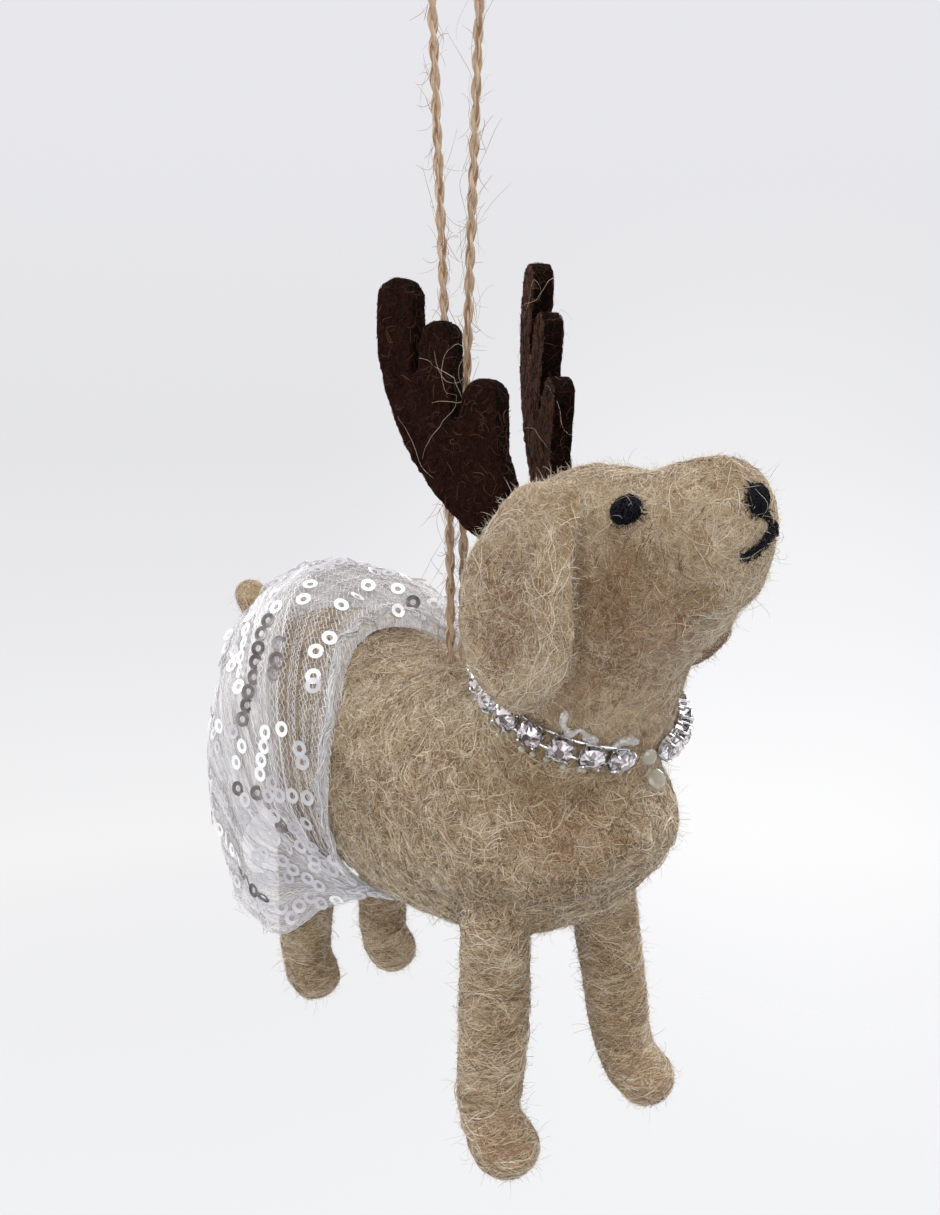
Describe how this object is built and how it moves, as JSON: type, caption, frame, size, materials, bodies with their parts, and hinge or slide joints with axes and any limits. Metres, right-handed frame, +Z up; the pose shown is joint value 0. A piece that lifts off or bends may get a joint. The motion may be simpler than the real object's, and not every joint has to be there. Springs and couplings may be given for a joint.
{
  "type": "christmas ornament",
  "caption": "Hanging needle felted dog with hinged ears, flat felt antlers, a stone set chain necklace and a sequin net skirt, on a loop of jute twine.",
  "frame": {"origin": "inside of the twine loop's top, where a hook or a twig bears", "axes": "+X towards the dog's nose, +Y to the dog's left, +Z up"},
  "size_m": [0.1212, 0.0432, 0.1599],
  "materials": {
    "wool_cream": "needle felted wool with loose fibres",
    "felt_brown": "flat craft felt, cut edges",
    "wool_black": "needled wool",
    "steel_wire": "plain wire",
    "silver_chain": "bright plated",
    "crystal": "faceted, foil backed",
    "set_glue": "set hot glue",
    "sequin_net": "knitted net with ring sequins",
    "jute": "two ply jute twine"
  },
  "bodies": {
    "twine": {"hanging_twine": "jute"},
    "knot": {"twine_knot": "jute"},
    "dog": {"torso_felt": "wool_cream", "head_felt": "wool_cream", "leg_front_right": "wool_cream", "leg_front_left": "wool_cream", "leg_rear_right": "wool_cream", "leg_rear_left": "wool_cream", "tail": "wool_cream", "antler_right": "felt_brown", "antler_left": "felt_brown", "eye_right": "wool_black", "eye_left": "wool_black", "nose": "wool_black", "mouth_thread": "wool_black", "front_leg_wire": "steel_wire", "rear_leg_wire": "steel_wire", "spine_wire": "steel_wire", "cup_chain": "silver_chain", "stone_01": "crystal", "stone_02": "crystal", "stone_03": "crystal", "stone_04": "crystal", "stone_05": "crystal", "stone_06": "crystal", "stone_07": "crystal", "stone_08": "crystal", "stone_09": "crystal", "stone_10": "crystal", "stone_11": "crystal", "stone_12": "crystal", "stone_13": "crystal", "stone_14": "crystal", "stone_15": "crystal", "stone_16": "crystal", "stone_17": "crystal", "stone_18": "crystal", "stone_19": "crystal", "stone_20": "crystal", "stone_21": "crystal", "glue_run_upper": "set_glue", "glue_run_lower": "set_glue", "glue_drop_gap": "set_glue", "glue_drop_low": "set_glue", "skirt": "sequin_net"},
    "right_ear": {"ear_right": "wool_cream"},
    "left_ear": {"ear_left": "wool_cream"}
  },
  "joints": [
    {"name": "turn", "type": "hinge", "parent": "twine", "child": "knot", "pos_m": [0, 0, -0.0985], "axis": [0, 0, 1], "range_deg": [-180, 180]},
    {"name": "nod", "type": "hinge", "parent": "knot", "child": "dog", "pos_m": [0, 0, -0.0985], "axis": [0, 1, 0], "range_deg": [-20, 25]},
    {"name": "right_ear_swing", "type": "hinge", "parent": "dog", "child": "right_ear", "pos_m": [0.033, -0.0124, -0.0698], "axis": [-1, 0, 0], "range_deg": [0, 40]},
    {"name": "left_ear_swing", "type": "hinge", "parent": "dog", "child": "left_ear", "pos_m": [0.029, 0.0124, -0.0698], "axis": [1, 0, 0], "range_deg": [0, 40]}
  ]
}
